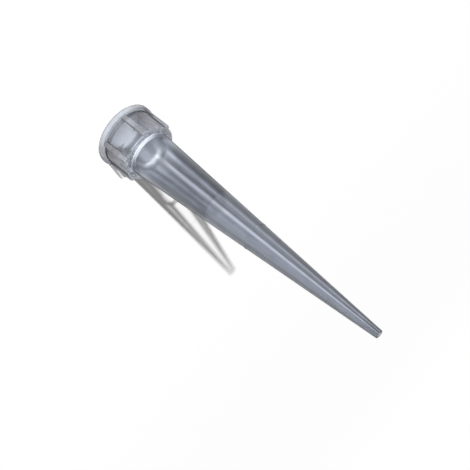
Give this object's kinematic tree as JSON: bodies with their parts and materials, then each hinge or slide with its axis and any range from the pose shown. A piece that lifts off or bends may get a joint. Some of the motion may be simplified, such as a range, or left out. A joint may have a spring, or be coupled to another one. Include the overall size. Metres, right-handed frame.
{
  "type": "pipette tip",
  "caption": "Clear tapered pipette tip with a rounded rim, a ribbed collar and a stepped bore; stands on its mouth.",
  "frame": {"origin": "centre of the mouth, in the plane of the rim that the tip stands on", "axes": "+Z along the tip's axis, from the mouth to the narrow end; one collar rib lies on +X"},
  "size_m": [0.0064, 0.0064, 0.032],
  "materials": {
    "clear_plastic": "clear, faintly cloudy moulded polypropylene"
  },
  "bodies": {
    "root": {"pipette_tip": "clear_plastic"}
  },
  "joints": []
}
